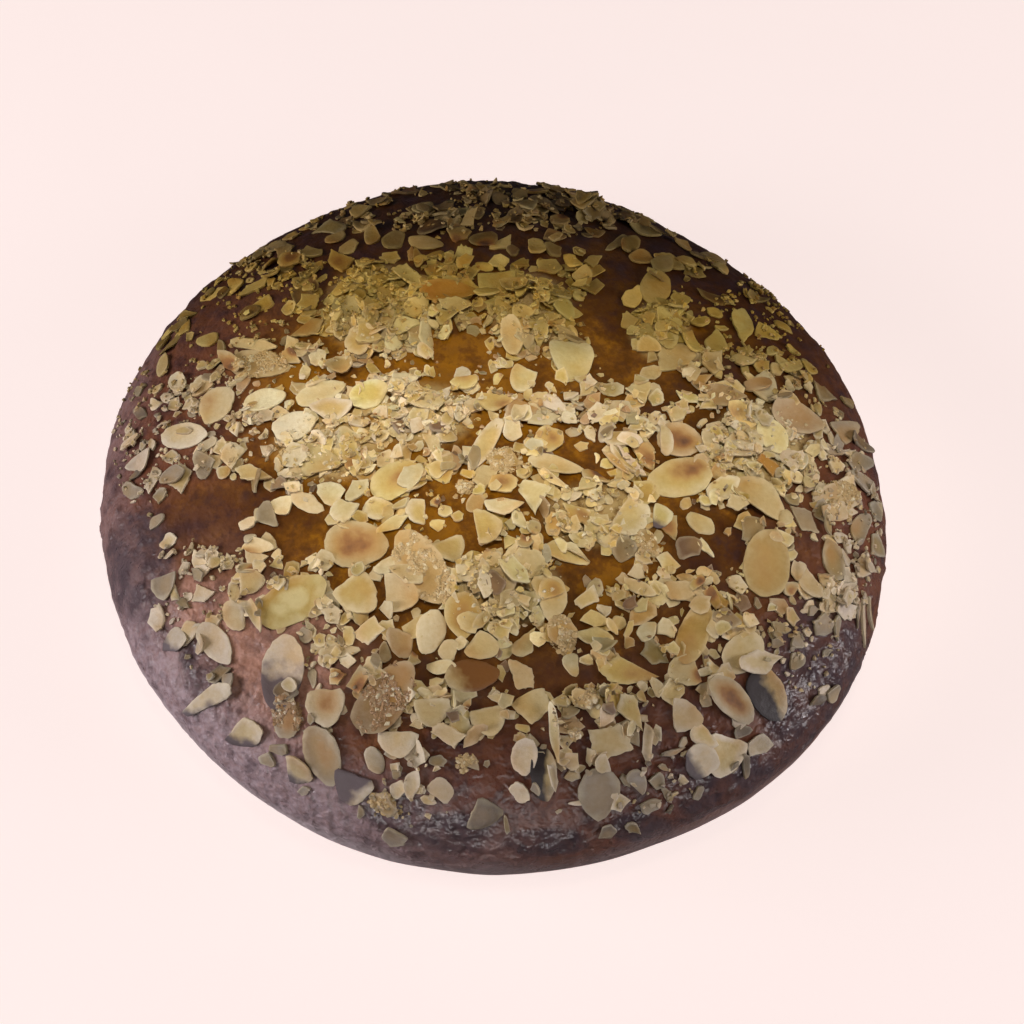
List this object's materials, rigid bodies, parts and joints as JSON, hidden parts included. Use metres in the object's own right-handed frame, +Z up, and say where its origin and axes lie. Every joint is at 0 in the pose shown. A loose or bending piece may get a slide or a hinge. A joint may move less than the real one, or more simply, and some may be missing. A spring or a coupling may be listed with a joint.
{
  "type": "almond-topped tart",
  "caption": "Round closed tart with a domed, browned and glazed crust, strewn with flaked almonds, and a flat underside to rest on.",
  "frame": {"origin": "middle of the flat underside", "axes": "+Z up out of the dome, +Y away from the viewer of the reference view, +X to that viewer's right"},
  "size_m": [0.2437, 0.2458, 0.0612],
  "materials": {
    "crust": "browned crust with an egg-wash gloss, amber on the crown and darker at the rim, with pale toasted almond flakes"
  },
  "bodies": {
    "root": {"tart": "crust"}
  },
  "joints": []
}
